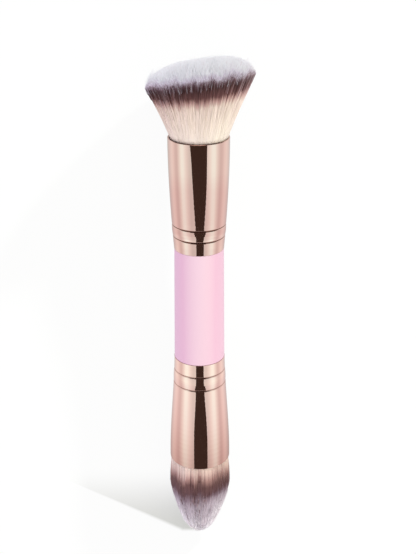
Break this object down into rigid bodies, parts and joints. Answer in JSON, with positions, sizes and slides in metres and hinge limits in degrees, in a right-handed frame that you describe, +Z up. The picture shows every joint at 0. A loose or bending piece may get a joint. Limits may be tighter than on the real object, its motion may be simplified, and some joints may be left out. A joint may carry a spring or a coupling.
{
  "type": "double ended makeup brush",
  "caption": "Double ended makeup brush lying on its side, with a slant-cut kabuki head, a pointed head, flared metal ferrules and a short lacquered barrel.",
  "frame": {"origin": "bottom centre of the whole brush as it lies on a flat surface", "axes": "+Y along the brush towards the kabuki head, +Z up, +X towards the tall side of the slanted cut"},
  "size_m": [0.033, 0.1718, 0.0328],
  "materials": {
    "pink_lacquer": "gloss",
    "rose_gold_aluminium": "polished",
    "root_glue": "matte",
    "kabuki_fibre": "soft synthetic hair",
    "point_fibre": "soft synthetic hair"
  },
  "bodies": {
    "root": {"handle_barrel": "pink_lacquer", "kabuki_ferrule": "rose_gold_aluminium", "point_ferrule": "rose_gold_aluminium", "kabuki_root_plug": "root_glue", "point_root_plug": "root_glue", "kabuki_hair": "kabuki_fibre", "point_hair": "point_fibre"}
  },
  "joints": []
}
